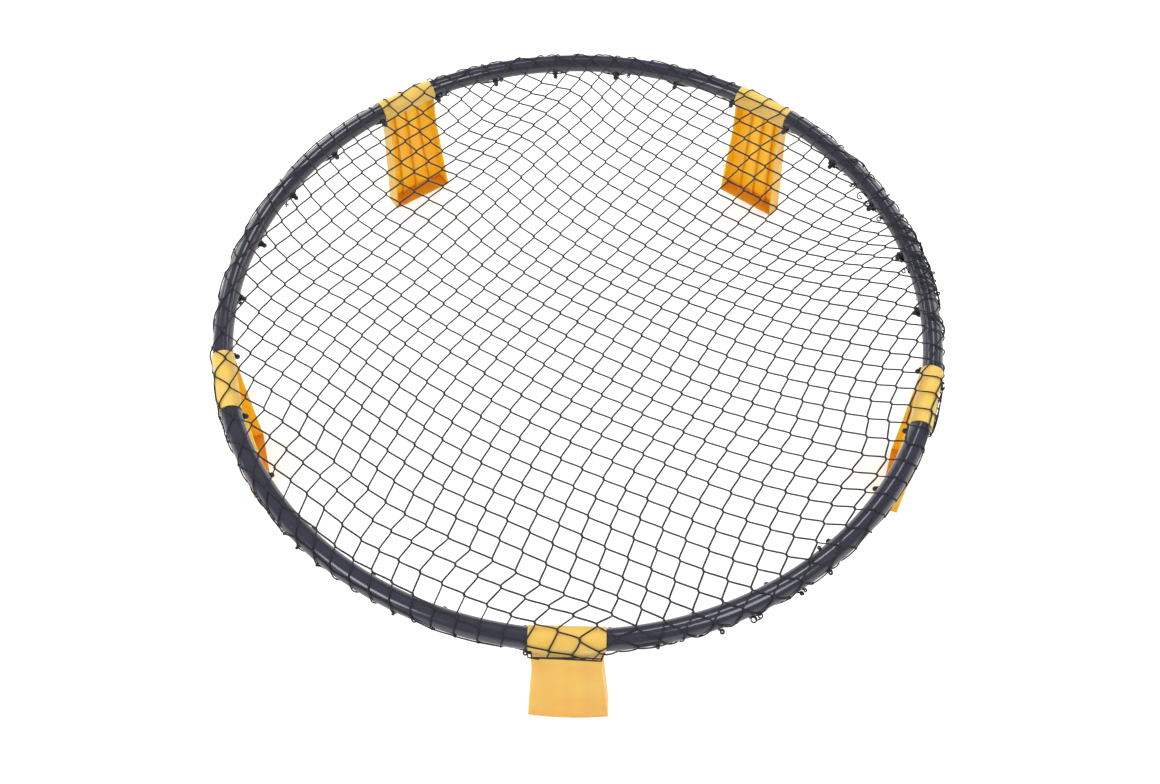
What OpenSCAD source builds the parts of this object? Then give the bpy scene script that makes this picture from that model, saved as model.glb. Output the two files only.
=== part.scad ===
// Roundnet set: a low ring of five bent tubes on five folding legs, with a knotted net
// stretched over the ring and caught on hooks under it.
// Millimetres, +Z up, origin on the ground under the middle of the ring.

/* [Rim] */
// Diameter across the outside of the rim tubes
rim_d = 914; // [860:1:960]
// Height of the rim tubes' centre line above the ground
rim_h = 203; // [160:1:240]
// Outside diameter of a rim tube
tube_d = 24; // [22:0.5:26]
// Wall thickness of a rim tube
tube_wall = 2; // [1.5:0.1:2.5]

/* [Connectors] */
// Diameter of the straight shank that a leg turns on
shank_d = 22.4; // [21:0.1:24]
// Length of the curved pin that goes into each tube
pin_depth = 25; // [15:1:40]
// Radial clearance of a pin in its tube
pin_gap = 0.15; // [0.1:0.05:0.4]
// Height of the stop key above the shank
key_h = 1.2; // [0.8:0.1:1.4]
// Length of the stop key along the shank
key_l = 7; // [4:0.5:12]

/* [Legs] */
// Length of the sleeve that turns on the shank
sleeve_l = 82; // [76:1:90]
// Wall thickness of the sleeve
sleeve_wall = 2.2; // [2:0.1:3]
// Radial clearance of the sleeve on the shank
run_gap = 0.08; // [0.04:0.02:0.1]
// Gap between a sleeve's end and the tube beside it
end_gap = 0.3; // [0.3:0.1:1]
// Width of the leg at the sleeve
leg_top_w = 77; // [60:1:82]
// Width of the leg at the foot
leg_foot_w = 96; // [80:1:120]
// Depth below the sleeve's centre where the leg starts to widen
flare_start = 60; // [30:1:100]
// How much further out the foot stands than the sleeve
foot_shift = 15; // [4:1:30]
// Wall thickness of the leg
leg_wall = 2.4; // [1.8:0.1:3]
// Thickness of the foot
foot_t = 2.6; // [2:0.1:5]
// Height of the stiffening ribs
rib_h = 8; // [4:0.5:14]
// Thickness of the stiffening ribs
rib_t = 2; // [1.2:0.1:3]
// Number of stiffening ribs
rib_count = 3; // [1:1:5]
// Angle that a leg folds in under the net
leg_fold = 90; // [60:1:90]

/* [Hooks] */
// Number of hooks on each tube
hook_count = 6; // [4:1:6]
// Diameter of a hook's neck
neck_d = 4; // [3:0.5:5]
// Diameter of a hook's ball end
ball_d = 6.6; // [5.5:0.1:8]
// Length of a hook from the tube to the middle of its ball
neck_l = 6.6; // [5:0.2:9]
// Diameter of the collar under a hook
collar_d = 8; // [6:0.5:9]
// Height of the collar under a hook
collar_h = 1; // [0.6:0.1:1.6]
// Angle of the hooks below level
hook_dip = 40; // [30:1:50]

/* [Net] */
// Spacing of the net's strands
mesh_pitch = 56; // [50:1:80]
// Width of a strand
strand_w = 2; // [1.4:0.1:3]
// Thickness of a strand
strand_t = 1.6; // [1:0.1:2.4]
// Turn of the net's strands on the ring
mesh_turn = 58; // [0:1:89]
// Clearance between the net and the sleeves
net_gap = 0.4; // [0.4:0.1:1]
// Angle between the strands that wrap the tubes
wrap_step = 6; // [6:6:12]
// Diameter of the cord along the net's edge
hem_d = 1.8; // [1.4:0.1:2.4]

/* [Hidden] */
$fn = 64;
ring_fn = 360;

// The ring is five equal sectors; leg 1 stands at the front, on -Y.
leg_count = 5;
sector = 360 / leg_count;
front = -90;
overcut = 1;

// Rim tubes
tube_r = tube_d / 2;
bore_r = tube_r - tube_wall;
rim_r = rim_d / 2 - tube_r;

// The shank is a chord of the rim's centre line, as long as the sleeve and its two end gaps.
shank_r = shank_d / 2;
shank_half = sleeve_l / 2 + end_gap;
hinge_r = sqrt(rim_r * rim_r - shank_half * shank_half);
shank_turn = asin(shank_half / rim_r);
pin_r = bore_r - pin_gap;
pin_turn = pin_depth / rim_r * 180 / PI;
pin_root = 1;

// Leg
sleeve_bore_r = shank_r + run_gap;
sleeve_r = sleeve_bore_r + sleeve_wall;
key_r = shank_r + key_h;
key_gap = 0.2;
key_slack = 1.5;
key_angle = 24;
leg_sweep = 2 * leg_foot_w / rim_r * 180 / PI;
leg_reach = 2 * leg_foot_w;

// Hooks, spread evenly over the whole ring, the outer two clear of the sleeves
hook_step = sector / hook_count;
hook_root = tube_wall - 0.3;
neck_r = neck_d / 2;

// Net
wrap_in = sleeve_r + net_gap;
wrap_out = wrap_in + strand_t;
wrap_mid = (wrap_in + wrap_out) / 2;
hem_r = hem_d / 2;
hem_sides = 6;
hem_dip = hook_dip - asin((neck_r + hem_r) / wrap_mid);
cross_drop = sleeve_r + 4;

leg_color = [0.94, 0.73, 0.30];
tube_color = [0.20, 0.21, 0.25];
hook_color = [0.12, 0.12, 0.13];
net_color = [0.10, 0.10, 0.11];

// A point on the ring: turn round the ring, then distance out from the tube's centre line and up
function on_rim(turn, out, up) = [
    (rim_r + out) * cos(turn),
    (rim_r + out) * sin(turn),
    rim_h + up
];

// Children drawn about the middle of leg i's shank: +X outward, +Y along the shank
module at_leg(i) {
    rotate([0, 0, front + (i - 1) * sector])
        translate([hinge_r, 0, rim_h])
            children();
}

// Children drawn about the ring's axis, with leg i in the direction of +X
module at_sector(i) {
    rotate([0, 0, front + (i - 1) * sector])
        translate([0, 0, rim_h])
            children();
}

// A cylinder along Y, about the origin
module shaft(r, l) {
    rotate([90, 0, 0])
        cylinder(r = r, h = l, center = true);
}

// A piece of ring about Y, l long from the origin, over sweep degrees from start degrees above outward
module band(r_in, r_out, l, start, sweep) {
    rotate([90, 0, 0])
        translate([0, 0, -l])
            rotate([0, 0, start])
                rotate_extrude(angle = sweep)
                    translate([r_in, 0])
                        square([r_out - r_in, l]);
}

// One bent tube, cut square to the shanks at both ends
module rim_tube(i) {
    color(tube_color)
        difference() {
            at_sector(i)
                rotate([0, 0, shank_turn / 2])
                    rotate_extrude(angle = sector - shank_turn, $fn = ring_fn)
                        translate([rim_r, 0])
                            difference() {
                                circle(r = tube_r, $fn = 64);
                                circle(r = bore_r, $fn = 64);
                            }
            for (end = [i, i + 1])
                at_leg(end)
                    cube([4 * tube_d, 2 * shank_half, 4 * tube_d], center = true);
        }
}

// The straight shank between two tubes, its curved pins and the key that stops the leg
module connector(i) {
    color(hook_color) {
        at_leg(i) {
            shaft(shank_r, 2 * shank_half);
            translate([0, sleeve_l / 2 - key_l, 0])
                band(shank_r - overcut, key_r, key_l, 90 - key_angle / 2, key_angle);
        }
        for (side = [0, 1])
            at_sector(i)
                mirror([0, side, 0])
                    rotate([0, 0, shank_turn - pin_root])
                        rotate_extrude(angle = pin_turn + pin_root, $fn = ring_fn)
                            translate([rim_r, 0])
                                circle(r = pin_r, $fn = 64);
    }
}

// Side view of the leg between two distances out from the hinge, down to a depth
module leg_side(inner, outer, depth) {
    shift = foot_shift * depth / rim_h;
    polygon([
        [inner, 0],
        [inner + shift, -depth],
        [outer + shift, -depth],
        [outer, 0]
    ]);
}

// Front view of the leg, made narrower by inset on each side
module leg_front(inset) {
    top = leg_top_w / 2 - inset;
    foot = leg_foot_w / 2 - inset;
    polygon([
        [-top, overcut],
        [-top, -flare_start],
        [-foot, -rim_h - overcut],
        [foot, -rim_h - overcut],
        [top, -flare_start],
        [top, overcut]
    ]);
}

// The leg's side view swept round the ring's axis, so that its outside follows the rim
module leg_swept(inner, outer, depth) {
    translate([-hinge_r, 0, 0])
        rotate([0, 0, -leg_sweep / 2])
            rotate_extrude(angle = leg_sweep, $fn = ring_fn)
                translate([hinge_r, 0])
                    leg_side(inner, outer, depth);
}

// A front view in Y and Z, pushed through the leg from inside to outside
module through_leg() {
    rotate([90, 0, 90])
        linear_extrude(height = leg_reach, center = true)
            children();
}

// The leg's outer shape, with a flat open side towards the middle of the ring
module leg_block() {
    intersection() {
        leg_swept(-leg_reach / 2, sleeve_r, rim_h);
        rotate([90, 0, 0])
            linear_extrude(height = leg_reach, center = true)
                leg_side(-sleeve_r, leg_reach / 2, rim_h);
        through_leg()
            leg_front(0);
    }
}

// One rib's front view, leaning with the leg's widening
module rib_strip(place) {
    top = place * leg_top_w;
    foot = place * leg_foot_w;
    polygon([
        [top - rib_t / 2, 0],
        [top - rib_t / 2, -flare_start],
        [foot - rib_t / 2, -rim_h + foot_t / 2],
        [foot + rib_t / 2, -rim_h + foot_t / 2],
        [top + rib_t / 2, -flare_start],
        [top + rib_t / 2, 0]
    ]);
}

// The sleeve and the tray-shaped leg under it, open towards the middle of the ring
module leg(i) {
    skin = sleeve_r - leg_wall;
    color(leg_color)
        at_leg(i)
            difference() {
                union() {
                    shaft(sleeve_r, sleeve_l);
                    difference() {
                        leg_block();
                        intersection() {
                            leg_swept(-leg_reach / 2, skin, rim_h - foot_t);
                            through_leg()
                                leg_front(leg_wall);
                        }
                    }
                    intersection() {
                        leg_swept(skin - rib_h, sleeve_r - leg_wall / 2, rim_h - foot_t / 2);
                        through_leg()
                            for (n = [1 : rib_count])
                                rib_strip(n / (rib_count + 1) - 1 / 2);
                    }
                }
                shaft(sleeve_bore_r, sleeve_l + 2 * overcut);
                translate([0, sleeve_l / 2 - key_l - key_gap, 0])
                    band(
                        sleeve_bore_r - overcut,
                        key_r + key_gap,
                        key_l + key_gap + overcut,
                        90 - key_angle / 2 - key_slack,
                        key_angle + 2 * key_slack + leg_fold
                    );
            }
}

// The hooks on one tube, each a collar, a neck through the tube's wall and a ball end
module net_hooks(i) {
    color(hook_color)
        for (n = [1 : hook_count])
            at_sector(i)
                rotate([0, 0, (n - 0.5) * hook_step])
                    translate([rim_r, 0, 0])
                        rotate([0, -90 - hook_dip, 0]) {
                            translate([0, 0, tube_r - hook_root])
                                cylinder(r = neck_r, h = neck_l + hook_root);
                            translate([0, 0, tube_r - hook_root / 2])
                                cylinder(r = collar_d / 2, h = collar_h + hook_root / 2);
                            translate([0, 0, tube_r + neck_l])
                                sphere(r = ball_d / 2);
                        }
}

// The flat net over the ring, ended by the strand that lies along the top of the tubes
module net() {
    count = ceil(rim_r / mesh_pitch);
    edge = strand_w / 2;
    color(net_color)
        translate([0, 0, rim_h + wrap_in])
            linear_extrude(height = strand_t) {
                intersection() {
                    circle(r = rim_r, $fn = 180);
                    rotate([0, 0, mesh_turn])
                        for (n = [-count : count]) {
                            translate([0, (n + 0.5) * mesh_pitch])
                                square([2 * rim_r, strand_w], center = true);
                            translate([(n + 0.5) * mesh_pitch, 0])
                                square([strand_w, 2 * rim_r], center = true);
                        }
                }
                difference() {
                    circle(r = rim_r + edge, $fn = 180);
                    circle(r = rim_r - edge, $fn = 180);
                }
            }
}

// The strands that wrap the tubes down to the hem, and those that hang over each sleeve
module net_skirt() {
    color(net_color)
        for (i = [1 : leg_count])
            at_sector(i)
                for (turn = [-wrap_step / 2 : wrap_step : sector - wrap_step])
                    rotate([0, 0, turn])
                        translate([rim_r, -strand_w / 2, 0])
                            if (turn < shank_turn)
                                sleeve_wrap();
                            else
                                band(wrap_in, wrap_out, strand_w, hem_dip - 180, 270 - hem_dip);
}

// A strand over the outer quarter of a sleeve, then straight down to the hem
module sleeve_wrap() {
    band(wrap_in, wrap_out, strand_w, 0, 90);
    translate([wrap_in, 0, -cross_drop])
        cube([strand_t, strand_w, cross_drop]);
}

// Where the hem comes round a tube to the front of a leg: turn past the sleeve's end, out and up
cross_steps = [
    [0.2, -wrap_mid * 0.5, -wrap_mid],
    [-0.15, sleeve_r * 0.6, -wrap_out - hem_r],
    [-0.5, wrap_mid + hem_r / 2, -cross_drop]
];

// One such point, on the side of the leg that side gives
function cross_point(i, side, step) = on_rim(
    front + i * sector + side * (shank_turn + cross_steps[step][0]),
    cross_steps[step][1],
    cross_steps[step][2]
);

// Route of the hem: along the hooks under a tube, then out and across the front of the next leg
function hem_route(i) = [
    for (turn = [hook_step / 2 : hook_step / 2 : sector - hook_step / 2])
        on_rim(
            front + (i - 1) * sector + turn,
            -wrap_mid * cos(hem_dip),
            -wrap_mid * sin(hem_dip)
        ),
    for (step = [0 : 2])
        cross_point(i, -1, step),
    on_rim(front + i * sector, cross_steps[2][1], cross_steps[2][2]),
    for (step = [2 : -1 : 0])
        cross_point(i, 1, step)
];

// A closed tube swept along a loop of points that never climbs straight up
module loop_tube(points, r, sides) {
    count = len(points);
    rings = [
        for (n = [0 : count - 1])
            let (
                ahead = points[(n + 1) % count] - points[(n + count - 1) % count],
                along = ahead / norm(ahead),
                flat = cross(along, [0, 0, 1]),
                side = flat / norm(flat),
                top = cross(side, along)
            )
            for (s = [0 : sides - 1])
                points[n] + r * (cos(360 * s / sides) * side + sin(360 * s / sides) * top)
    ];
    faces = [
        for (n = [0 : count - 1])
            for (s = [0 : sides - 1])
                let (
                    a = n * sides + s,
                    b = n * sides + (s + 1) % sides,
                    c = ((n + 1) % count) * sides + (s + 1) % sides,
                    d = ((n + 1) % count) * sides + s
                )
                for (face = [[a, b, c], [a, c, d]])
                    face
    ];
    polyhedron(points = rings, faces = faces);
}

// The cord along the net's edge
module net_hem() {
    color(net_color)
        loop_tube([for (i = [1 : leg_count]) each hem_route(i)], hem_r, hem_sides);
}

rim_tube(1);  // rim_tube_1
rim_tube(2);  // rim_tube_2
rim_tube(3);  // rim_tube_3
rim_tube(4);  // rim_tube_4
rim_tube(5);  // rim_tube_5
connector(1);  // connector_1
connector(2);  // connector_2
connector(3);  // connector_3
connector(4);  // connector_4
connector(5);  // connector_5
leg(1);  // leg_1
leg(2);  // leg_2
leg(3);  // leg_3
leg(4);  // leg_4
leg(5);  // leg_5
net_hooks(1);  // net_hooks_1
net_hooks(2);  // net_hooks_2
net_hooks(3);  // net_hooks_3
net_hooks(4);  // net_hooks_4
net_hooks(5);  // net_hooks_5
net();
net_skirt();
net_hem();
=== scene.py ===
import math
import random

import bmesh
import bpy
import numpy as np
from mathutils import Matrix, Vector


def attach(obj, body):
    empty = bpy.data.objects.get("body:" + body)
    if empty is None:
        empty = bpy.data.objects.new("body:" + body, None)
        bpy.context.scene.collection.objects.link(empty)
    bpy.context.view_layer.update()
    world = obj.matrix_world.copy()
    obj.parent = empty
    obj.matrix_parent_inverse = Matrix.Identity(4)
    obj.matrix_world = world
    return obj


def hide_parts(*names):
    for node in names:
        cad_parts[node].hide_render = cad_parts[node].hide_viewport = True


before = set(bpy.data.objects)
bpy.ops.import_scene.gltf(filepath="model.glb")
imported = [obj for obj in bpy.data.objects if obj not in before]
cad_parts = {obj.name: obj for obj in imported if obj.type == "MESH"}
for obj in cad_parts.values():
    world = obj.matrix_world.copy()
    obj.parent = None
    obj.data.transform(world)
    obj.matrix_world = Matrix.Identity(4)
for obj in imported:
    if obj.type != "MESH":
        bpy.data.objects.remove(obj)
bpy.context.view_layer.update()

print("frame loaded")

mm = 0.001

rim = {  # the ring that the net is stretched over, in millimetres and degrees
    "radius": 445.0,  # to the middle of the tube
    "height": 203.0,
    "hinge": 443.08,  # distance of a sleeve's middle line from the ring's middle
    "sleeveEnd": 5.33,  # degrees from a leg's middle
    "legs": 5,
    "sector": 72.0,  # from one leg to the next
    "front": -90.0,  # where the first leg stands
    "hooks": 6,  # on each tube
    "hookDip": 40.0,  # how far a hook points down
}

camera = {
    "place": (0.0210, -0.7981, 1.2569),
    "lookDown": 57.93,  # degrees below level
    "turn": 1.31,
    "roll": 0.14,
    "lens": 32.07,
    "sensor": 36,
    "seesTo": 30,
}

cameraData = bpy.data.cameras.new("camera")
cameraData.lens = camera["lens"]
cameraData.sensor_width = camera["sensor"]
cameraData.sensor_fit = "HORIZONTAL"
cameraData.clip_end = camera["seesTo"]
cameraObject = bpy.data.objects.new("camera", cameraData)
bpy.context.scene.collection.objects.link(cameraObject)
cameraObject.matrix_world = (
    Matrix.Translation(camera["place"])
    @ Matrix.Rotation(math.radians(camera["turn"]), 4, "Z")
    @ Matrix.Rotation(math.radians(90 - camera["lookDown"]), 4, "X")
    @ Matrix.Rotation(math.radians(camera["roll"]), 4, "Z")
)
bpy.context.scene.camera = cameraObject
bpy.context.scene.view_settings.view_transform = "Standard"


def toLinear(hexColour):  # an sRGB hex colour as linear red, green, blue and alpha
    parts = [int(hexColour[n:n + 2], 16) / 255 for n in (1, 3, 5)]
    return [p / 12.92 if p <= 0.04045 else ((p + 0.055) / 1.055) ** 2.4 for p in parts] + [1]


def addNode(tree, kind, inputs=None, **settings):  # a node with its settings, values and links
    node = tree.nodes.new("ShaderNode" + kind)
    for name, value in settings.items():
        setattr(node, name, value)
    for socket, value in (inputs or {}).items():
        if isinstance(value, bpy.types.NodeSocket):
            tree.links.new(value, node.inputs[socket])
        else:
            node.inputs[socket].default_value = value
    return node


def newMaterial(name):  # an empty node tree with its output
    material = bpy.data.materials.new(name)
    material.use_nodes = True
    tree = material.node_tree
    tree.nodes.clear()
    return material, tree, tree.nodes.new("ShaderNodeOutputMaterial")


studio = {
    "floor": "#F4F4F3",
    "floorHalf": 6.0,
    "floorGap": 0.4 * mm,  # under the feet
    "floorLift": 0.4,  # what the camera and the gloss see on top of the lit paper
    "farLift": 0.9,  # and where the lamps no longer reach
    "farFrom": (1.0, 2.6),  # distances between which it gets there
    "ambient": 0.54,  # even light from all round
    "wallTop": (0.12, 0.35),  # how steeply up the gloss sees white walls give way to the ceiling
    "ceiling": 0.1,  # what the gloss sees overhead, between the softboxes
    "aim": (0, 0, 0.2),  # where every softbox points
    "lamps": {  # softboxes: place, width, height and strength, where 1 is a lit white sheet
        "rightBox": ((1.05, -0.78, 2.2), 0.75, 0.75, 8.0),
        "leftBox": ((-1.5, -1.12, 1.8), 0.85, 0.7, 9.0),
        "backTopBox": ((0.42, 1.55, 3.1), 0.65, 0.85, 9.0),
        "leftFrontBox": ((-2.25, -1.85, 1.0), 1.3, 1.1, 0.6),
        "leftBackBox": ((-1.45, 1.7, 0.95), 1.5, 1.1, 3.5),
        "rightBackBox": ((1.6, 1.5, 0.95), 1.5, 1.1, 2.9),
    },
}


def makeFloor():  # a wide sheet that stays white behind the object and keeps its shadow
    bm = bmesh.new()
    bmesh.ops.create_grid(bm, x_segments=1, y_segments=1, size=studio["floorHalf"])
    mesh = bpy.data.meshes.new("floor")
    bm.to_mesh(mesh)
    bm.free()
    floor = bpy.data.objects.new("floor", mesh)
    bpy.context.scene.collection.objects.link(floor)
    floor.location.z = -studio["floorGap"]
    material, tree, output = newMaterial("floorPaper")  # matte white paper: no gloss, soft shadows
    paper = addNode(tree, "BsdfDiffuse", {"Color": toLinear(studio["floor"])})
    rays = addNode(tree, "LightPath")
    seen = addNode(tree, "Math", {0: rays.outputs["Is Camera Ray"], 1: rays.outputs["Is Glossy Ray"]},
                   operation="MAXIMUM")
    away = addNode(tree, "VectorMath", {0: addNode(tree, "TexCoord").outputs["Object"]}, operation="LENGTH")
    level = addNode(tree, "MapRange", {
        "Value": away.outputs["Value"], "From Min": studio["farFrom"][0], "From Max": studio["farFrom"][1],
        "To Min": studio["floorLift"], "To Max": studio["farLift"]}, interpolation_type="SMOOTHSTEP")
    lift = addNode(tree, "Math", {0: seen.outputs[0], 1: level.outputs[0]}, operation="MULTIPLY")
    glow = addNode(tree, "Emission", {"Color": (1, 1, 1, 1), "Strength": lift.outputs[0]})
    both = addNode(tree, "AddShader", {0: paper.outputs[0], 1: glow.outputs[0]})
    tree.links.new(both.outputs[0], output.inputs["Surface"])
    mesh.materials.append(material)


def makeWorld():  # white to the camera, plain light to the object, dark overhead to its gloss
    world = bpy.data.worlds.new("studio")
    bpy.context.scene.world = world
    world.use_nodes = True
    tree = world.node_tree
    tree.nodes.clear()
    rays = addNode(tree, "LightPath")
    way = addNode(tree, "SeparateXYZ", {0: addNode(tree, "TexCoord").outputs["Generated"]})
    wall = addNode(tree, "MapRange", {
        "Value": way.outputs[2], "From Min": studio["wallTop"][0], "From Max": studio["wallTop"][1],
        "To Min": 1.0, "To Max": studio["ceiling"]}, interpolation_type="SMOOTHSTEP")
    gloss = addNode(tree, "Mix", {
        "Factor": rays.outputs["Is Glossy Ray"], "A": studio["ambient"], "B": wall.outputs[0]})
    seen = addNode(tree, "Math", {0: rays.outputs["Is Camera Ray"], 1: rays.outputs["Is Transmission Ray"]},
                   operation="MAXIMUM")
    level = addNode(tree, "Mix", {"Factor": seen.outputs[0], "A": gloss.outputs[0], "B": 1.0})
    sky = addNode(tree, "Background", {"Color": (1, 1, 1, 1), "Strength": level.outputs[0]})
    output = tree.nodes.new("ShaderNodeOutputWorld")
    tree.links.new(sky.outputs[0], output.inputs["Surface"])


def addSoftbox(name, place, width, height, strength):  # a lit rectangle that faces the object
    data = bpy.data.lights.new(name, "AREA")
    data.shape = "RECTANGLE"
    data.size, data.size_y = width, height
    data.energy = strength * math.pi * width * height
    lamp = bpy.data.objects.new(name, data)
    bpy.context.scene.collection.objects.link(lamp)
    lamp.location = place
    lamp.rotation_euler = (Vector(studio["aim"]) - Vector(place)).to_track_quat("-Z", "Y").to_euler()


makeFloor()
makeWorld()
for lampName, lampBox in studio["lamps"].items():
    addSoftbox(lampName, *lampBox)
print("camera, floor and light made")

tubeFinish = {
    "colour": "#3B3B48",
    "scuffed": "#504F5D",
    "roughness": 0.15,
    "ior": 1.49,
    "lineSpacing": 0.9 * mm,  # drawn lines along the tube, left by the die
    "lineDrift": 0.02,  # how fast a line fades into the next one along the tube
    "lineRelief": 0.12,  # share of their depth that shows
    "lineDepth": 0.1 * mm,
    "mottle": 60 * mm,
    "mottleGloss": (-0.04, 0.06),  # what it does to the roughness
    "scuffSize": 14 * mm,
    "scuffFrom": (0.62, 0.74),  # level of the noise at which a scuff starts and is at its most
    "scuffMost": 0.55,
    "scuffRoughness": 0.25,
}


def makeTubePlastic():  # black polypropylene tube, extruded and bent: glossy, faint lines along its run
    material, tree, output = newMaterial("extrudedPolypropylene")
    place = addNode(tree, "TexCoord").outputs["Object"]
    parts = addNode(tree, "SeparateXYZ", {0: place})
    flat = addNode(tree, "CombineXYZ", {0: parts.outputs[0], 1: parts.outputs[1]})
    reach = addNode(tree, "VectorMath", {0: flat.outputs[0]}, operation="LENGTH")
    along = addNode(tree, "Math", {0: parts.outputs[1], 1: parts.outputs[0]}, operation="ARCTAN2")
    slow = addNode(tree, "Math", {0: along.outputs[0], 1: tubeFinish["lineDrift"]}, operation="MULTIPLY")
    drawn = addNode(tree, "CombineXYZ", {
        0: reach.outputs["Value"], 1: parts.outputs[2], 2: slow.outputs[0]})
    lines = addNode(tree, "TexNoise", {
        "Vector": drawn.outputs[0], "Scale": 1 / tubeFinish["lineSpacing"] / 2, "Detail": 2.0})
    mottle = addNode(tree, "TexNoise", {"Vector": place, "Scale": 1 / tubeFinish["mottle"], "Detail": 3.0})
    scuff = addNode(tree, "TexNoise", {
        "Vector": place, "Scale": 1 / tubeFinish["scuffSize"], "Detail": 5.0, "Roughness": 0.7})
    worn = addNode(tree, "MapRange", {
        "Value": scuff.outputs[0], "From Min": tubeFinish["scuffFrom"][0],
        "From Max": tubeFinish["scuffFrom"][1], "To Max": tubeFinish["scuffMost"]})
    shade = addNode(tree, "MixRGB", {
        "Fac": worn.outputs[0], "Color1": toLinear(tubeFinish["colour"]),
        "Color2": toLinear(tubeFinish["scuffed"])})
    smoother, rougher = tubeFinish["mottleGloss"]
    gloss = addNode(tree, "MapRange", {
        "Value": mottle.outputs[0],
        "To Min": tubeFinish["roughness"] + smoother, "To Max": tubeFinish["roughness"] + rougher})
    rough = addNode(tree, "Math", {
        0: worn.outputs[0], 1: tubeFinish["scuffRoughness"], 2: gloss.outputs[0]}, operation="MULTIPLY_ADD")
    relief = addNode(tree, "Bump", {
        "Height": lines.outputs[0], "Strength": tubeFinish["lineRelief"],
        "Distance": tubeFinish["lineDepth"]})
    skin = addNode(tree, "BsdfPrincipled", {
        "Base Color": shade.outputs[0], "Roughness": rough.outputs[0], "IOR": tubeFinish["ior"],
        "Normal": relief.outputs[0]})
    tree.links.new(skin.outputs[0], output.inputs["Surface"])
    return material


legFinish = {
    "colour": "#FCB62C",
    "deep": "#FAAA20",
    # painted light on the sleeve: the same plastic as the leg, made paler for the light it catches
    "sleeve": "#EFCE70",  # painted light: paler over the black tube, where nothing glows through
    "sleeveDeep": "#EDC662",
    "scuffed": "#D9A04A",
    "rubbed": "#FFDD8C",  # edges and corners
    "roughness": 0.38,
    "ior": 1.49,
    "specular": 0.35,  # below the usual half, for the light lost in the mould's grain
    "cloud": 45 * mm,  # size of the faint flow marks
    "cloudFrom": (0.3, 0.7),  # level of the noise at which the deeper colour starts and is full
    "cloudGloss": (-0.06, 0.08),  # what they do to the roughness
    "grain": 0.5 * mm,  # spark-eroded mould skin, drawn at twice its size so that it shows
    "grainRelief": 0.15,
    "grainDepth": 0.1 * mm,
    "scuffSize": 7 * mm,
    "scuffFrom": (0.68, 0.8),
    "scuffMost": 0.5,
    "scuffRoughness": 0.3,
    "footWear": 0.09,  # added to the scuffs at the ground
    "footWearTop": 14 * mm,  # and none above this
    "edge": 0.8 * mm,
    "edgeFrom": (0.99, 0.8),  # cosine of an edge's rounding where the rubbing starts and is full
    "edgeMost": 0.45,
    "glow": 14.0 * mm,  # how far light gets in the thin leg
    "glowSleeve": 1.0 * mm,  # and over the black tube
    "glowFoot": 0.03,  # share of it in the foot's plate, which lies on the ground
    "glowTint": (1.0, 0.75, 0.25),  # red gets furthest, blue least
    "footPlate": (3 * mm, 8 * mm),  # height at which the foot's plate turns into the leg
    "sleeveFrom": (180 * mm, 196 * mm),  # height at which the leg turns into its sleeve
}


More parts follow.
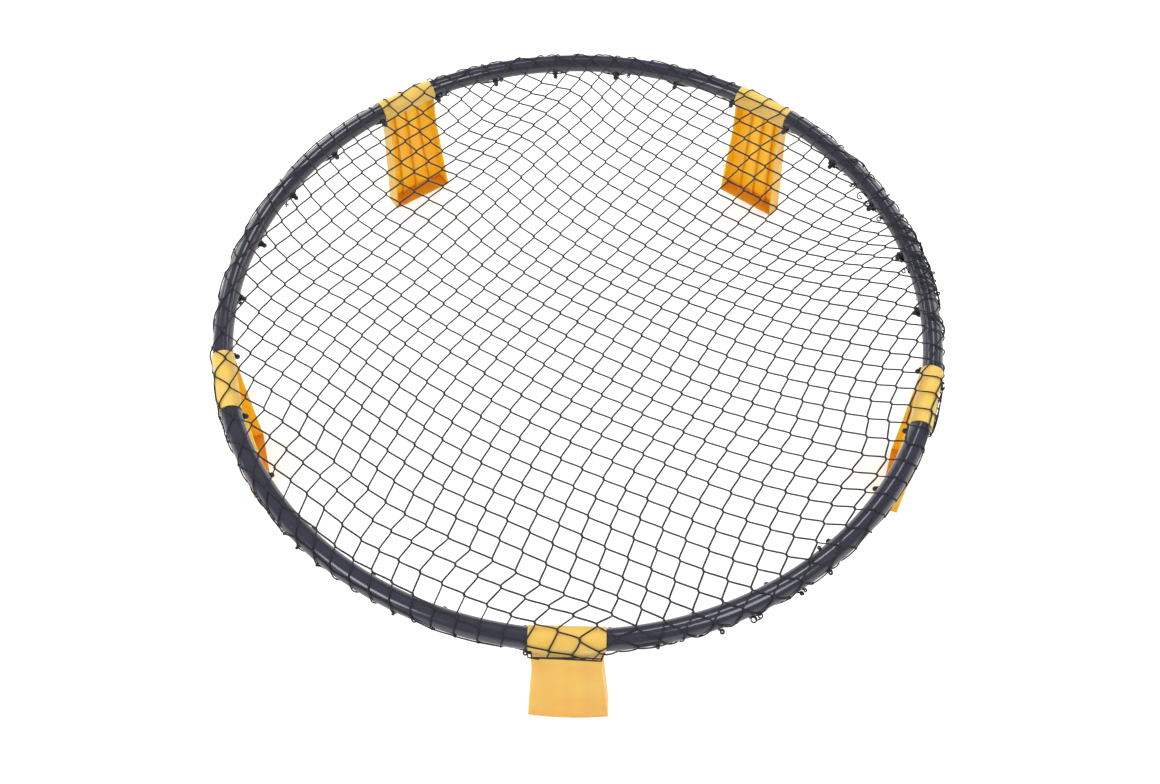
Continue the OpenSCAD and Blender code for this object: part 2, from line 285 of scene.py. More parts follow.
def makeLegPlastic():  # yellow polypropylene, injection moulded: satin, so thin that it glows orange
    material, tree, output = newMaterial("mouldedPolypropylene")
    place = addNode(tree, "TexCoord").outputs["Object"]
    cloud = addNode(tree, "TexNoise", {"Vector": place, "Scale": 1 / legFinish["cloud"], "Detail": 3.0})
    grain = addNode(tree, "TexNoise", {"Vector": place, "Scale": 1 / legFinish["grain"] / 2, "Detail": 2.0})
    scuff = addNode(tree, "TexNoise", {
        "Vector": place, "Scale": 1 / legFinish["scuffSize"], "Detail": 6.0, "Roughness": 0.7})
    height = addNode(tree, "SeparateXYZ", {0: place}).outputs[2]
    low = addNode(tree, "MapRange", {
        "Value": height, "From Min": 0.0, "From Max": legFinish["footWearTop"],
        "To Min": legFinish["footWear"], "To Max": 0.0})
    high = addNode(tree, "MapRange", {
        "Value": height, "From Min": legFinish["sleeveFrom"][0], "From Max": legFinish["sleeveFrom"][1]},
        interpolation_type="SMOOTHSTEP")
    rounded = addNode(tree, "Bevel", {"Radius": legFinish["edge"]}, samples=4)
    flatFace = addNode(tree, "NewGeometry").outputs["Normal"]
    facing = addNode(tree, "VectorMath", {0: rounded.outputs[0], 1: flatFace}, operation="DOT_PRODUCT")
    edge = addNode(tree, "MapRange", {
        "Value": facing.outputs["Value"], "From Min": legFinish["edgeFrom"][0],
        "From Max": legFinish["edgeFrom"][1], "To Max": legFinish["edgeMost"]})
    rubbed = addNode(tree, "Math", {0: scuff.outputs[0], 1: low.outputs[0]}, operation="ADD")
    worn = addNode(tree, "MapRange", {
        "Value": rubbed.outputs[0], "From Min": legFinish["scuffFrom"][0],
        "From Max": legFinish["scuffFrom"][1], "To Max": legFinish["scuffMost"]})
    warm = addNode(tree, "MapRange", {
        "Value": cloud.outputs[0], "From Min": legFinish["cloudFrom"][0],
        "From Max": legFinish["cloudFrom"][1]})
    # painted light: above sleeveFrom the leg's colours give way to the paler sleeve colours
    pale = addNode(tree, "MixRGB", {
        "Fac": high.outputs[0], "Color1": toLinear(legFinish["colour"]),
        "Color2": toLinear(legFinish["sleeve"])})
    deep = addNode(tree, "MixRGB", {
        "Fac": high.outputs[0], "Color1": toLinear(legFinish["deep"]),
        "Color2": toLinear(legFinish["sleeveDeep"])})
    tone = addNode(tree, "MixRGB", {
        "Fac": warm.outputs[0], "Color1": pale.outputs[0], "Color2": deep.outputs[0]})
    marked = addNode(tree, "MixRGB", {
        "Fac": worn.outputs[0], "Color1": tone.outputs[0], "Color2": toLinear(legFinish["scuffed"])})
    shade = addNode(tree, "MixRGB", {
        "Fac": edge.outputs[0], "Color1": marked.outputs[0], "Color2": toLinear(legFinish["rubbed"])})
    smoother, rougher = legFinish["cloudGloss"]
    gloss = addNode(tree, "MapRange", {
        "Value": cloud.outputs[0],
        "To Min": legFinish["roughness"] + smoother, "To Max": legFinish["roughness"] + rougher})
    rough = addNode(tree, "Math", {
        0: worn.outputs[0], 1: legFinish["scuffRoughness"], 2: gloss.outputs[0]}, operation="MULTIPLY_ADD")
    clear = addNode(tree, "MapRange", {
        "Value": height, "From Min": legFinish["footPlate"][0], "From Max": legFinish["footPlate"][1],
        "To Min": legFinish["glowFoot"]})
    deeper = addNode(tree, "MapRange", {
        "Value": high.outputs[0], "To Min": legFinish["glow"], "To Max": legFinish["glowSleeve"]})
    glow = addNode(tree, "Math", {0: deeper.outputs[0], 1: clear.outputs[0]}, operation="MULTIPLY")
    relief = addNode(tree, "Bump", {
        "Height": grain.outputs[0], "Strength": legFinish["grainRelief"],
        "Distance": legFinish["grainDepth"], "Normal": rounded.outputs[0]})
    skin = addNode(tree, "BsdfPrincipled", {
        "Base Color": shade.outputs[0], "Roughness": rough.outputs[0], "IOR": legFinish["ior"],
        "Specular IOR Level": legFinish["specular"], "Subsurface Weight": 1.0,
        "Subsurface Radius": legFinish["glowTint"], "Subsurface Scale": glow.outputs[0],
        "Normal": relief.outputs[0]})
    tree.links.new(skin.outputs[0], output.inputs["Surface"])
    return material


nylonFinish = {
    "hook": ("#17181B", 0.5),  # colour and roughness
    "connector": ("#141518", 0.42),
    "pale": "#2C2D31",
    "ior": 1.53,
    "cloud": 3 * mm,  # size of the faint marks from the mould
    "cloudGloss": (-0.08, 0.12),
    "relief": 0.2,
    "reliefDepth": 0.1 * mm,
}


def makeNylon(name, colour, roughness):  # black nylon, injection moulded: matte, hardly marked
    material, tree, output = newMaterial(name)
    place = addNode(tree, "TexCoord").outputs["Object"]
    cloud = addNode(tree, "TexNoise", {"Vector": place, "Scale": 1 / nylonFinish["cloud"], "Detail": 4.0})
    smoother, rougher = nylonFinish["cloudGloss"]
    gloss = addNode(tree, "MapRange", {
        "Value": cloud.outputs[0], "To Min": roughness + smoother, "To Max": roughness + rougher})
    tone = addNode(tree, "MixRGB", {
        "Fac": cloud.outputs[0], "Color1": toLinear(colour), "Color2": toLinear(nylonFinish["pale"])})
    relief = addNode(tree, "Bump", {
        "Height": cloud.outputs[0], "Strength": nylonFinish["relief"],
        "Distance": nylonFinish["reliefDepth"]})
    skin = addNode(tree, "BsdfPrincipled", {
        "Base Color": tone.outputs[0], "Roughness": gloss.outputs[0], "IOR": nylonFinish["ior"],
        "Normal": relief.outputs[0]})
    tree.links.new(skin.outputs[0], output.inputs["Surface"])
    return material


def dress(node, material):  # gives a carried-over solid its finish
    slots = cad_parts[node].data.materials
    if not slots:
        slots.append(material)
    for place in range(len(slots)):
        slots[place] = material


tubePlastic = makeTubePlastic()
legPlastic = makeLegPlastic()
hookNylon = makeNylon("mouldedNylonHook", *nylonFinish["hook"])
connectorNylon = makeNylon("mouldedNylonConnector", *nylonFinish["connector"])
for leg in range(1, rim["legs"] + 1):
    dress(f"rim_tube_{leg}", tubePlastic)
    dress(f"leg_{leg}", legPlastic)
    dress(f"net_hooks_{leg}", hookNylon)
    dress(f"connector_{leg}", connectorNylon)
print("moulded and extruded parts finished")

net = {  # millimetres and degrees
    "reach": 23,  # knots each way from the middle one
    "mesh": 25.5,  # side of a mesh, from knot to knot
    "strand": 1.08,  # radius
    "onTube": 13.0,  # from a tube's middle to the middle of a strand on it
    "onSleeve": 14.5,  # and on a sleeve
    "bend": 14.0,  # radius at which the length of the wrap is counted
    "edgeStrand": 0.85,  # radius where a strand is stretched round the rim
    "fieldEnd": 6.0,  # the flat part ends this far inside the top of the tube
    "fieldTop": 13.3,  # how high it lies above the tube's middle
    "fieldLeave": 392.0,  # distance from the ring's middle at which it starts to follow the tube
    "wrapTurn": (90, 240),  # degrees that a strand goes round a sleeve, and more round a tube
    "onLeg": (5.1, 5.9),  # degrees from a leg's middle between which one becomes the other
    "sleeveStep": (5.6, 6.8),  # and where a strand steps down from sleeve to tube
    "legLean": 0.075,  # how the net follows the leg's outward slope below its sleeve
    "atCorner": (4.9, 5.9),  # and where the hem goes down from the leg to the first hook
    "hemTube": 57.5,  # length from the top of the rim to the hem, round a tube to a hook
    "hemLeg": 38.4,  # and over a sleeve, down the front of the leg
    "hemLift": 0.5,  # off the rim
    # where the hem stands further off: turn, half width and how far
    "hemOff": ((-17.5, 4.5, 3.0), (-84, 2.5, 0.8)),
    "hemSlack": (19, 23, 17, 21, 25, 18, 22),  # how much higher the hem runs between two hooks
    "knot": (1.55, 2.7, 1.5),  # half sizes of a knot: across, along and through the net
    "knotSizes": (0.88, 1.15),  # how far they vary
    "knotTwist": 0.3,  # radians
    "knotRun": 1.5,  # how far a knot's ends stand from its middle
    "stiff": 0.05,  # share of a mesh's side by which a strand springs off its knots
    "fieldPoints": (0, 0.24, 0.76, 1),  # points of a strand from knot to knot
    "edgePoints": np.linspace(0, 1, 7),  # and where it bends round the rim
    "longestRun": 400,  # points of a run, past which a new one starts
    "middle": (34.4, -31.9),  # where the middle knot lies
    # turn of each strand's steps, in degrees, and their length, at the knots counted from the middle
    "rowTurn": ((-18, -58.9), (-15, -46), (-12, -30.3), (-9, -37.8), (-4, -34.1), (2, -24.8), (8, -27),
                (12, -19.3), (14, -8.1), (16, -18)),
    "rowStep": ((-18, 29.2), (-12, 21.7), (-6, 24.7), (3, 24.8), (10, 27), (15, 23.7)),
    "columnTurn": ((-17, 83.6), (-15.5, 55.5), (-14.5, 48.8), (-13.5, 75), (-11, 76.9), (-6, 61.6),
                   (0, 60.1), (6, 57), (12, 50.9), (17, 34.5)),
    "columnStep": ((-17, 24.2), (-15.5, 23.9), (-14.5, 22.9), (-13, 25.8), (-4, 25.3), (6, 26.3),
                   (16, 25.2)),
    "skewKnot": 18,  # the knot where a skew is as written
    "skewMost": 1.15,  # times that, past which it grows no more
    # how the two runs of strands skew each other: powers of row and column, then the shift
    "skew": ((1, 1, -87.5, 70.5), (2, 1, -7.7, -17.4), (1, 2, 23.7, -62.7), (3, 1, 41.9, -59.3),
             (2, 2, -32.9, 38.2), (1, 3, 79.8, -128.4)),
    # where a hook has caught more of the net: place, shift and how wide it is felt
    "pulls": ((405, 79, 10, 21, 71), (339, -221, 15, -5, 35), (24, -490, 5, 14, 63),
              (-301, 171, -9, 29, 83), (-46, 364, 17, 28, 60), (-105, 225, 7, 27, 69),
              (357, 140, 7, -35, 79), (-372, -158, -16, 8, 41), (369, 279, -26, 12, 32),
              (208, 138, 0, -16, 71), (-81, -349, -4, 9, 55), (165, 217, 7, 7, 110),
              (-201, 327, 11, 15, 36), (-483, -36, -29, 13, 100), (196, 418, -13, -7, 46),
              (242, -185, 6, -2, 37), (-179, 129, 3, 12, 49), (48, -38, -2, 9, 56), (153, -14, -8, 14, 64),
              (-238, 250, 3, 9, 32), (-75, -84, -1, 3, 43), (-74, 368, -1, -14, 28),
              (-200, -304, -10, 6, 49), (-226, -331, 6, -9, 31), (152, -25, 8, -29, 100),
              (-289, -208, -7, 4, 34)),
    "restLift": 0.3,  # how unevenly strands lie over the flat net, at most
    "rimLift": (440, 452),  # distances from the ring's middle between which that grows
    "rimLiftMost": (0.4, 1.3),  # by so much, and by more where the net is bunched
    "bunched": (18, 30, 18),  # turn of its middle, and how far from it that starts and is full
    "pastHem": 1,  # how far outside the hem a knot still shows
    # bights of the net wound on a hook, where there are more than two: hook, then how many
    "caught": {-24: 5, -12: 4, 0: 9, 12: 14, 24: 9, 36: 10, 48: 5, 60: 4, 84: 3, 108: 4, 120: 7, 132: 3,
               144: 4, 156: 4, 168: 3, 180: 4, 204: 3},
    "seed": 7,
}


def ease(value, start, end):  # 0 at start, 1 at end, smooth between
    share = np.clip((value - start) / (end - start), 0, 1)
    return share * share * (3 - 2 * share)


def offLeg(azimuth):  # degrees from the nearest leg's middle
    return np.abs((azimuth - rim["front"] + rim["sector"] / 2) % rim["sector"] - rim["sector"] / 2)


def strandRun(turns, steps):  # the knots along one strand of the flat net
    mids = np.arange(-net["reach"], net["reach"]) + 0.5
    angle = np.radians(np.interp(mids, *zip(*turns)))
    step = np.interp(mids, *zip(*steps))
    run = np.cumsum(np.stack([step * np.cos(angle), step * np.sin(angle)], 1), 0)
    run = np.vstack([[0, 0], run])
    return run - run[net["reach"]]


def layKnots():  # every knot's place in the plane of the net, before its edge is wrapped
    rows = strandRun(net["rowTurn"], net["rowStep"])
    columns = strandRun(net["columnTurn"], net["columnStep"])
    place = rows[:, None] + columns[None, :] + np.array(net["middle"])
    count = np.arange(-net["reach"], net["reach"] + 1) / net["skewKnot"]
    count = count.clip(-net["skewMost"], net["skewMost"])
    row, column = np.meshgrid(count, count, indexing="ij")
    for a, b, x, y in net["skew"]:
        place += (row ** a * column ** b)[..., None] * np.array([x, y])
    shift = np.zeros_like(place)
    for x, y, alongX, alongY, width in net["pulls"]:
        gap = (place[..., 0] - x) ** 2 + (place[..., 1] - y) ** 2
        shift += np.exp(-gap / (2 * width ** 2))[..., None] * np.array([alongX, alongY])
    return place + shift


def polar(place):  # distance from the ring's middle, and degrees round it
    return np.hypot(place[..., 0], place[..., 1]), np.degrees(np.arctan2(place[..., 1], place[..., 0]))


def hemReach(azimuth):  # how far from the ring's middle the flat net's hem lies
    turn = (azimuth - rim["front"]) * rim["hooks"] / rim["sector"] - 0.5
    turn = turn % (rim["legs"] * rim["hooks"])
    span = np.floor(turn).astype(int)
    share = turn - span
    rise = np.array(net["hemSlack"])[span % len(net["hemSlack"])]
    tube = net["hemTube"] - rise * 4 * share * (1 - share)
    onLeg = net["hemLeg"] + ease(offLeg(azimuth), *net["atCorner"]) * (net["hemTube"] - net["hemLeg"])
    return rim["radius"] + np.where(span % rim["hooks"] == rim["hooks"] - 1, onLeg, tube)


def hemLift(azimuth):  # how far off the rim the hem stands
    lift = np.full(np.shape(azimuth), net["hemLift"])
    for middle, width, height in net["hemOff"]:
        gap = (azimuth - middle + 180) % 360 - 180
        lift = lift + height * np.exp(-(gap / width) ** 4)
    return lift


def hookAzimuths():
    step = rim["sector"] / rim["hooks"]
    return [rim["front"] + leg * rim["sector"] + (n + 0.5) * step
            for leg in range(rim["legs"]) for n in range(rim["hooks"])]


tension = {  # how the edge of the net is evened out
    "rounds": 60,
    "free": (432, 462),  # distances from the ring's middle between which knots become free to move
    "past": 5,  # how far outside the hem a knot still counts
    "pull": 0.22,  # share of a mesh's wrong length that a round takes up
    "hold": 0.04,  # share of the way that a held knot goes back
    "hook": 0.3,  # and that a caught knot goes to its hook
}


def tighten(place):  # evens out the edge's meshes and pulls the caught knots to their hooks
    reach, azimuth = polar(place)
    inside = reach < hemReach(azimuth) + tension["past"]
    free = ease(reach, *tension["free"])[..., None]
    pinned = {}
    for hook in hookAzimuths():
        turn = math.radians(hook)
        spot = (rim["radius"] + net["hemTube"]) * np.array([math.cos(turn), math.sin(turn)])
        gap = np.where(inside, np.hypot(*(place - spot).transpose(2, 0, 1)), np.inf)
        row, column = np.unravel_index(gap.argmin(), gap.shape)
        pinned[(int(row), int(column))] = spot
    start = place.copy()
    for _ in range(tension["rounds"]):
        push = np.zeros_like(place)
        for low, high in ((np.s_[:-1, :], np.s_[1:, :]), (np.s_[:, :-1], np.s_[:, 1:])):
            run = place[high] - place[low]
            length = np.hypot(run[..., 0], run[..., 1])[..., None]
            both = (inside[low] & inside[high])[..., None]
            pull = np.where(both, run * (1 - net["mesh"] / length), 0) * tension["pull"]
            push[low] += pull
            push[high] -= pull
        place = place + push * free
        place = place + (start - place) * tension["hold"] * (1 - free)
        for (row, column), spot in pinned.items():
            place[row, column] += (spot - place[row, column]) * tension["hook"]
    return place, inside


def drape(points, lift):  # from the flat net to its place over the rim, in metres
    reach, azimuth = polar(points)
    off = offLeg(azimuth)
    over = reach - rim["radius"]
    near = ease(reach, net["fieldLeave"], rim["radius"])
    middle = np.where(off < rim["sleeveEnd"], rim["hinge"] / np.cos(np.radians(off)), rim["radius"])
    sleeve = 1 - ease(off, *net["sleeveStep"])
    radius = net["onTube"] + sleeve * (net["onSleeve"] - net["onTube"]) + lift
    past = ease(off, *net["onLeg"])
    most = np.radians(net["wrapTurn"][0] + net["wrapTurn"][1] * past)
    turn = np.clip(over / net["bend"], 0, most)
    rest = np.clip(over - turn * net["bend"], 0, None)
    lean = net["legLean"] * (1 - past)
    outside = middle + radius * np.sin(turn) + rest * (np.cos(turn) + lean)
    out = np.where(over > 0, outside, reach + near * (middle - rim["radius"]))
    top = net["fieldTop"] + near * (radius - net["fieldTop"])
    height = rim["height"] + np.where(over > 0, radius * np.cos(turn) - rest * np.sin(turn), top)
    azimuth = np.radians(azimuth)
    return np.stack([out * np.cos(azimuth), out * np.sin(azimuth), height], -1) * mm


def addStrands(name, runs, radius):  # twine along each run of points
    data = bpy.data.curves.new(name, "CURVE")
    data.dimensions = "3D"
    data.bevel_depth = radius * mm
    data.bevel_resolution = 1  # six sides
    for run, closed in runs:
        spline = data.splines.new("POLY")
        spline.points.add(len(run) - 1)
        spline.points.foreach_set("co", np.hstack([run, np.ones((len(run), 1))]).ravel())
        spline.use_cyclic_u = closed
    return data


def layStrands(place, inside, lift):  # the strands as runs of points, the field's and the edge's apart
    bias = np.zeros_like(place)
    bias[1:-1, 1:-1] = (place[1:-1, 2:] - place[1:-1, :-2]) - (place[2:, 1:-1] - place[:-2, 1:-1])
    bias /= np.maximum(np.hypot(bias[..., 0], bias[..., 1]), 1e-6)[..., None]
    field, edge = [], []
    size = place.shape[0]
    for axis, way in ((0, -1), (1, 1)):
        for line in range(1, size - 1):
            for n in range(1, size - 1):
                at = (n, line) if axis == 0 else (line, n)
                after = (n + 1, line) if axis == 0 else (line, n + 1)
                if not (inside[at] or inside[after]):
                    continue
                ends = []
                for knot, side in ((at, 1), (after, -1)):
                    ends.append(place[knot] + side * way * bias[knot] * net["knotRun"])
                ends = np.array(ends)
                lifts = np.array([lift[at], lift[after]])
                reach, azimuth = polar(ends)
                past = reach - hemReach(azimuth)
                if past.min() > 0:
                    continue
                isEdge = reach.max() > rim["radius"] - net["fieldEnd"]
                for out, back in ((1, 0), (0, 1)):
                    if past[out] > 0:  # it ends at the hem
                        ends[out] += (ends[back] - ends[out]) * (past[out] / (past[out] - past[back]))
                        lifts[out] = hemLift(azimuth[out])
                share = np.array(net["edgePoints"] if isEdge else net["fieldPoints"])[:, None]
                chord = ends[1] - ends[0]
                # it leaves each knot the way the knot holds it, and bends to the next
                leave = (bias[at] + bias[after]) * way * np.hypot(*chord) * net["stiff"]
                flat = ends[0] + chord * share + leave * (2 * share ** 3 - 3 * share ** 2 + share)
                points = drape(flat, lifts[0] + (lifts[1] - lifts[0]) * share[:, 0])
                (edge if isEdge else field).append((at, after, points))
    return field, edge


def joinRuns(parts):  # strands that meet at a knot become one run through it
    runs = []
    last = None
    for at, after, points in parts:
        if last == at and runs and len(runs[-1]) < net["longestRun"]:
            runs[-1].extend(points.tolist())
        else:
            runs.append(points.tolist())
        last = after
    return [(np.array(run), False) for run in runs]


def addKnots(bm, place, keep, lift, dice):  # a lump where strands meet, laid along the run that it ties
    for row, column in zip(*np.nonzero(keep)):
        if row in (0, place.shape[0] - 1) or column in (0, place.shape[1] - 1):
            continue
        here = place[row, column]
        along = place[row, column + 1] - place[row, column - 1]
        along = along - (place[row + 1, column] - place[row - 1, column])
        along = along / np.hypot(*along)
        across = np.array([along[1], -along[0]])
        probe = np.array([here, here + along, here - along, here + across])
        spots = drape(probe, np.full(4, lift[row, column]))
        yAxis = Vector(spots[1] - spots[2]).normalized()
        xAxis = Vector(spots[3] - spots[0]).normalized()
        zAxis = xAxis.cross(yAxis).normalized()
        xAxis = yAxis.cross(zAxis)
        turn = Matrix((xAxis, yAxis, zAxis)).transposed().to_4x4()
        twist = Matrix.Rotation(dice.uniform(-net["knotTwist"], net["knotTwist"]), 4, "Z")
        size = [half * mm * dice.uniform(*net["knotSizes"]) for half in net["knot"]]
        bmesh.ops.create_icosphere(
            bm, subdivisions=1, radius=1.0,
            matrix=Matrix.Translation(spots[0]) @ turn @ twist @ Matrix.Diagonal(size + [1]))


def markTwist(mesh, runs):  # how far along its strand each point is, and which way round it faces
    along = np.concatenate([
        np.concatenate([[0], np.hypot.reduce(np.diff(run, axis=0), axis=1).cumsum()]) for run, _ in runs])
    sides = len(mesh.vertices) // len(along)
    mesh.attributes.new("along", "FLOAT", "POINT").data.foreach_set("value", np.repeat(along, sides))
    turn = np.tile(np.arange(sides) * 2 * math.pi / sides, len(along))
    facing = np.stack([np.cos(turn), np.sin(turn), 0 * turn], 1)
    mesh.attributes.new("facing", "FLOAT_VECTOR", "POINT").data.foreach_set("vector", facing.ravel())


def finishPiece(name, runs, radius, knots, material, node):  # strands and knots as one mesh on the rim
    holder = bpy.data.objects.new(name + "Strands", addStrands(name, runs, radius))
    bpy.context.scene.collection.objects.link(holder)
    depsgraph = bpy.context.evaluated_depsgraph_get()
    mesh = bpy.data.meshes.new_from_object(holder.evaluated_get(depsgraph))
    bpy.data.objects.remove(holder)
    markTwist(mesh, runs)
    bm = bmesh.new()
    bm.from_mesh(mesh)
    bmesh.ops.holes_fill(bm, edges=[edge for edge in bm.edges if edge.is_boundary], sides=0)
    if knots:
        knots(bm)
    for face in bm.faces:
        face.smooth = True
    bm.to_mesh(mesh)
    bm.free()
    mesh.name = name
    mesh.materials.append(material)
    piece = bpy.data.objects.new(name, mesh)
    bpy.context.scene.collection.objects.link(piece)
    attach(piece, "rim")
    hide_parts(node)
    print(name, len(mesh.polygons), "faces")


twineFinish = {
    "colour": "#2E2F35",
    "faded": "#3A3B41",
    "roughness": 0.7,
    "ior": 1.51,
    "specular": 0.3,  # below the usual half, for the light lost between its fibres
    "yarns": 3,
    "turn": 9 * mm,  # length in which they go once round
    "fibre": 0.5 * mm,
    "fibreRelief": 0.6,  # against a yarn's
    "fibreGloss": (-0.1, 0.12),
    "fade": 80 * mm,  # size of the paler stretches
    "fadeMost": 0.5,
    "relief": 0.6,
    "reliefDepth": 0.15 * mm,
}


def makeTwine():  # black polyethylene twine, three yarns laid together: dull, ribbed by its yarns
    material, tree, output = newMaterial("twistedPolyethyleneTwine")
    place = addNode(tree, "TexCoord").outputs["Object"]
    along = addNode(tree, "Attribute", attribute_name="along").outputs["Fac"]
    facing = addNode(tree, "SeparateXYZ", {
        0: addNode(tree, "Attribute", attribute_name="facing").outputs["Vector"]})
    around = addNode(tree, "Math", {0: facing.outputs[1], 1: facing.outputs[0]}, operation="ARCTAN2")
    laid = addNode(tree, "Math", {0: along, 1: 2 * math.pi / twineFinish["turn"], 2: around.outputs[0]},
                   operation="MULTIPLY_ADD")
    yarns = addNode(tree, "Math", {0: laid.outputs[0], 1: twineFinish["yarns"]}, operation="MULTIPLY")
    rib = addNode(tree, "Math", {0: yarns.outputs[0]}, operation="SINE")
    fibre = addNode(tree, "TexNoise", {
        "Vector": place, "Scale": 1 / twineFinish["fibre"] / 2, "Detail": 3.0, "Roughness": 0.7})
    height = addNode(tree, "Math", {
        0: fibre.outputs[0], 1: twineFinish["fibreRelief"], 2: rib.outputs[0]}, operation="MULTIPLY_ADD")
    worn = addNode(tree, "TexNoise", {"Vector": place, "Scale": 1 / twineFinish["fade"], "Detail": 3.0})
    crest = addNode(tree, "MapRange", {
        "Value": rib.outputs[0], "From Min": -1.0, "To Min": 0.0, "To Max": twineFinish["fadeMost"]})
    share = addNode(tree, "Math", {0: crest.outputs[0], 1: worn.outputs[0]}, operation="MULTIPLY")
    shade = addNode(tree, "MixRGB", {
        "Fac": share.outputs[0], "Color1": toLinear(twineFinish["colour"]),
        "Color2": toLinear(twineFinish["faded"])})
    smoother, rougher = twineFinish["fibreGloss"]
    gloss = addNode(tree, "MapRange", {
        "Value": fibre.outputs[0],
        "To Min": twineFinish["roughness"] + smoother, "To Max": twineFinish["roughness"] + rougher})
    relief = addNode(tree, "Bump", {
        "Height": height.outputs[0], "Strength": twineFinish["relief"],
        "Distance": twineFinish["reliefDepth"]})
    skin = addNode(tree, "BsdfPrincipled", {
        "Base Color": shade.outputs[0], "Roughness": gloss.outputs[0], "IOR": twineFinish["ior"],
        "Specular IOR Level": twineFinish["specular"], "Normal": relief.outputs[0]})
    tree.links.new(skin.outputs[0], output.inputs["Surface"])
    return material


hem = {  # two cords side by side round the whole ring, in degrees and millimetres
    "step": 0.5,
    "corner": (5.4, 0.65),  # no points here, so they run straight from a leg's corner to the next hook
    "onLeg": (4.6, 5.6),  # degrees from a leg's middle between which their run over the leg ends
    "weave": (25, 1.3),  # how often they cross and cross back in a turn, and how far they part
    "wander": (43, 0.4),  # and a smaller waver on top
    "legGap": (-3.2, 0.3),  # where each one lies over a leg, from the hem's own line
    "legWander": (33, 0.5),
    "lift": 0.3,
}


def hemRun(dice, side):  # one cord of the hem
    azimuth = np.arange(0, 360, hem["step"]) + rim["front"]
    azimuth = azimuth[np.abs(offLeg(azimuth) - hem["corner"][0]) > hem["corner"][1]]
    phase = dice.uniform(0, 6)
    onLeg = 1 - ease(offLeg(azimuth), *hem["onLeg"])
    weave = np.cos(np.radians(azimuth * hem["weave"][0]))
    wander = np.sin(np.radians(azimuth * hem["wander"][0]) + phase)
    wave = weave * hem["weave"][1] + wander * hem["wander"][1]
    sag = np.cos(np.radians(azimuth * hem["legWander"][0]) + phase) * hem["legWander"][1]
    reach = hemReach(azimuth) + side * wave * (1 - onLeg) + (sag + hem["legGap"][side > 0]) * onLeg
    flat = np.stack([reach * np.cos(np.radians(azimuth)), reach * np.sin(np.radians(azimuth))], -1)
    lift = hemLift(azimuth) + hem["lift"] + weave * side * hem["lift"]
    return drape(flat, lift), True


bight = {  # a bight of the net wound on a hook's neck, in millimetres
    "fewest": 2,  # on a hook
    "points": 14,
    "pointTurn": 30,  # degrees
    "start": 6.3,  # radians round the neck within which one starts
    "radius": 2.9,
    "growth": 0.28,  # of the radius, for each bight that is under it
    "depth": 14.2,  # from the tube's middle
    "layers": 3,  # side by side along the neck
    "layerStep": 0.7,
    "tilt": (0.5, 0.12),  # of the first one at most, and more for each that is under it
    "slide": 0.25,  # sideways, for each that is under it
}


def hookLoops(dice):  # the bights on every hook
    runs = []
    for hook in hookAzimuths():
        turn = math.radians(hook)
        outward = Vector((math.cos(turn), math.sin(turn), 0))
        dip = math.radians(rim["hookDip"])
        axis = -outward * math.cos(dip) - Vector((0, 0, 1)) * math.sin(dip)
        side = Vector((-math.sin(turn), math.cos(turn), 0))
        third = axis.cross(side)
        root = outward * rim["radius"] * mm + Vector((0, 0, rim["height"] * mm))
        place = round((hook - rim["front"]) % 360 + rim["front"])
        caught = net["caught"].get(place, bight["fewest"])
        for n in range(caught):
            start = dice.uniform(0, bight["start"])
            size = bight["radius"] + n * bight["growth"]
            tilt = dice.uniform(-1, 1) * (bight["tilt"][0] + bight["tilt"][1] * n)
            slide = dice.uniform(-bight["slide"], bight["slide"]) * n
            run = []
            for step in range(bight["points"]):
                angle = start + step * math.radians(bight["pointTurn"])
                way = side * math.cos(angle) + third * math.sin(angle)
                depth = bight["depth"] + (n % bight["layers"]) * bight["layerStep"]
                depth = depth + tilt * math.cos(angle - start * 2)
                run.append(root + axis * depth * mm + (way * size + side * slide) * mm)
            runs.append((np.array(run), False))
    return runs


slack = {  # the slack strands over the tube, in millimetres and degrees
    # turn where some of them come over the tube, how far round they drift, and how many
    "wraps": ((-1, 3.0, 2), (4, 4.5, 3), (8.5, 5.0, 5), (13, 5.5, 5), (18, 5.0, 3), (24, -4.0, 2),
              (30, -5.0, 2), (34.5, 4.0, 2)),
    "spread": 2.2,  # how far they scatter round that turn
    "wander": 1.2,  # and how their drift varies
    "bow": (3.0, 0.5),  # radians of the wave that each one follows, and how far it goes
    "points": 16,
    "start": (9, 14),  # how far inside the top of the tube
    "length": (54, 66),
    "lift": 0.9,  # over the net that is under them
    "bulge": (0.2, 1.4),  # how far their middle stands off
}


def slackWraps(dice):  # where the net is gathered, its strands cross the tube side by side
    runs = []
    for start, drift, count in slack["wraps"]:
        for _ in range(count):
            azimuth = start + dice.uniform(-slack["spread"], slack["spread"])
            share = np.linspace(0, 1, slack["points"])
            wander = dice.uniform(-slack["wander"], slack["wander"])
            bow = np.sin(share * slack["bow"][0]) * slack["bow"][1]
            turn = np.radians(azimuth - share * (drift + wander) - bow)
            reach = rim["radius"] - dice.uniform(*slack["start"]) + share * dice.uniform(*slack["length"])
            lift = slack["lift"] + dice.uniform(*slack["bulge"]) * np.sin(share * math.pi)
            runs.append((drape(np.stack([reach * np.cos(turn), reach * np.sin(turn)], -1), lift), False))
    return runs


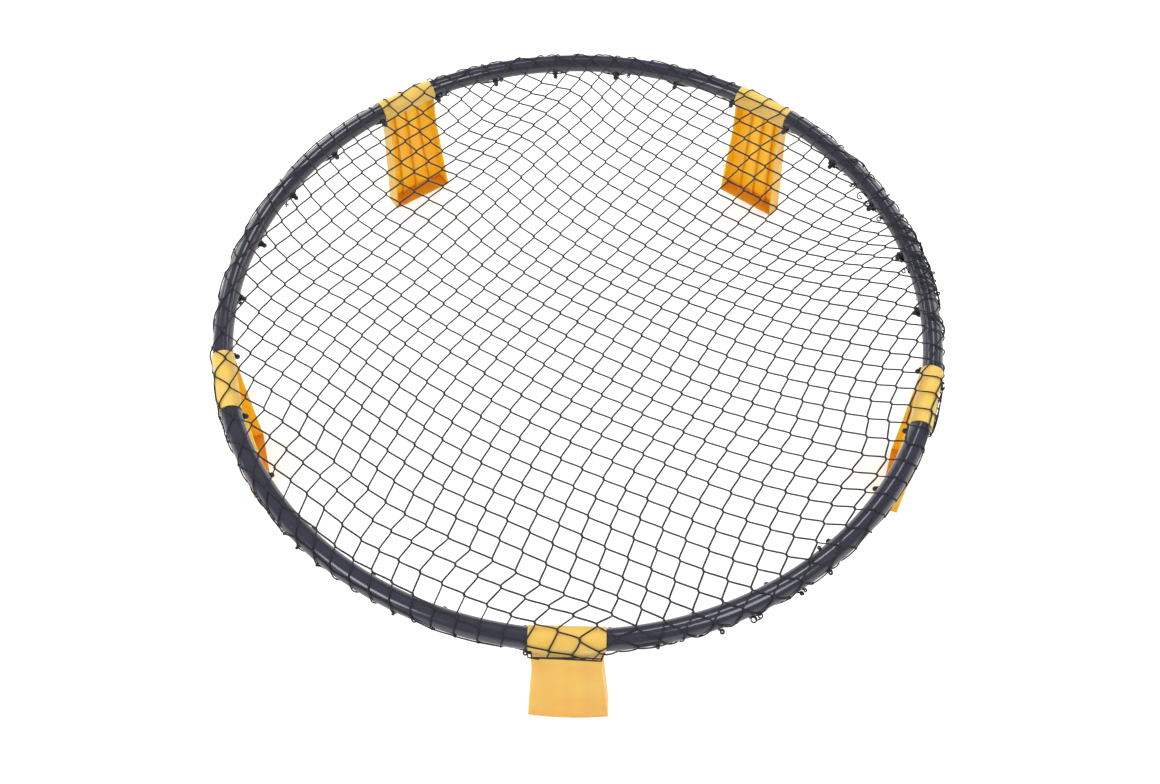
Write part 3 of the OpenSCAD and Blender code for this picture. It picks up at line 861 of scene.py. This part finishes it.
curl = {  # the loose curls of twine, in millimetres and degrees
    # turn on the ring, angle round the tube from its top, size, and how many turns it makes
    "curls": ((-78, 108, 1.3, 1.1), (-69.2, 104, 2.2, 1.8), (-64.6, 106, 3.2, 1.3),
              (-63.6, 98, 2.4, 0.8), (-57, 100, 2.0, 1.7), (-56.2, 108, 1.6, 0.9),
              (-51.8, 100, 1.9, 2.1), (-51.0, -62, 1.4, 1.1), (-20.5, 96, 1.5, 0.9),
              (-17.6, 92, 1.4, 1.2), (-15.4, 94, 1.7, 1.4), (-14.4, 88, 1.2, 0.8), (2.4, 72, 1.9, 0.8),
              (4.8, 66, 1.6, 1.2), (6.4, 68, 2.6, 0.9), (8.4, -104, 3.4, 0.8), (12.4, 60, 1.4, 1.5),
              (20.6, -108, 2.8, 1.0), (24.5, -112, 3.6, 1.2), (26.8, -106, 4.2, 0.8),
              (29.6, -114, 2.6, 1.4), (81.4, -128, 1.8, 1.1), (106.8, -126, 1.6, 1.6),
              (118.0, -122, 2.4, 1.2), (119.2, -110, 2.0, 1.7), (158.4, -122, 2.0, 1.3),
              (181.4, -114, 2.2, 1.2), (226, 108, 1.2, 1.0), (229, 104, 1.4, 0.8),
              (233, 106, 1.1, 1.2), (246, 112, 1.3, 0.9), (264.6, 118, 2.6, 1.2),
              (264.9, 112, 1.6, 2.3), (265.1, 120, 1.3, 1.7)),
    "swing": 0.9,  # radians that one may turn on the tube
    "points": (10, 12),  # for each one, and for each of its turns
    "shake": 0.08,  # radians
    "rise": (0.8, 0.3),  # how far it stands off at its start, and how much more at its end
    "width": 0.9,  # all of these as shares of its size
    "pitch": 1.6,
    "tail": 1.6,
    "tailDip": 0.5,  # millimetres
}


def looseCurls(dice):  # ends and bights that stand off the rim
    runs = []
    for azimuth, around, size, turns in curl["curls"]:
        turn, round_ = math.radians(azimuth), math.radians(around)
        outward = Vector((math.cos(turn), math.sin(turn), 0))
        side = Vector((-math.sin(turn), math.cos(turn), 0))
        normal = outward * math.sin(round_) + Vector((0, 0, 1)) * math.cos(round_)
        across = side.cross(normal)
        swing = dice.uniform(-curl["swing"], curl["swing"])
        lean = side * math.cos(swing) + across * math.sin(swing)
        third = normal.cross(lean)
        root = outward * rim["radius"] * mm + Vector((0, 0, rim["height"] * mm))
        root = root + normal * net["onTube"] * mm
        count = int(curl["points"][0] + curl["points"][1] * turns)
        run = []
        for step in range(count + 1):
            share = step / count
            angle = 2 * math.pi * turns * share + dice.uniform(-curl["shake"], curl["shake"])
            away = size * (1 - math.cos(angle)) * (curl["rise"][0] + curl["rise"][1] * share)
            run.append(root + (normal * away + lean * size * math.sin(angle) * curl["width"]
                               + third * (share - 0.5) * size * curl["pitch"]) * mm)
        tail = lean * size * curl["tail"] * mm
        first = run[0] - tail - normal * curl["tailDip"] * mm
        runs.append((np.array([first] + run + [run[-1] + tail]), False))
    return runs


twine = makeTwine()
dice = random.Random(net["seed"])
knotPlace, knotInside = tighten(layKnots())
knotReach, knotAzimuth = polar(knotPlace)
knotInside = knotInside & (knotReach < hemReach(knotAzimuth) + net["pastHem"])
noise = np.random.default_rng(net["seed"])
bunchTurn, bunchEnd, bunchFull = net["bunched"]
bunched = ease(np.abs((knotAzimuth - bunchTurn + 180) % 360 - 180), bunchEnd, bunchFull)
lumpy = bunched * net["rimLiftMost"][1] + net["rimLiftMost"][0]
knotLift = noise.uniform(0.0, net["restLift"], lumpy.shape)
knotLift = knotLift + ease(knotReach, *net["rimLift"]) * noise.uniform(0.0, 1.0, lumpy.shape) * lumpy
fieldParts, edgeParts = layStrands(knotPlace, knotInside, knotLift)
fieldKnots = knotInside & (knotReach < rim["radius"] - net["fieldEnd"])
edgeKnots = knotInside & ~fieldKnots
finishPiece("netField", joinRuns(fieldParts), net["strand"],
            lambda bm: addKnots(bm, knotPlace, fieldKnots, knotLift, dice), twine, "net")
finishPiece("netEdge", joinRuns(edgeParts), net["edgeStrand"],
            lambda bm: addKnots(bm, knotPlace, edgeKnots, knotLift, dice), twine, "net_skirt")
hemRuns = [hemRun(dice, 1), hemRun(dice, -1)] + hookLoops(dice) + slackWraps(dice) + looseCurls(dice)
finishPiece("netHem", hemRuns, net["edgeStrand"], None, twine, "net_hem")
print("net made")
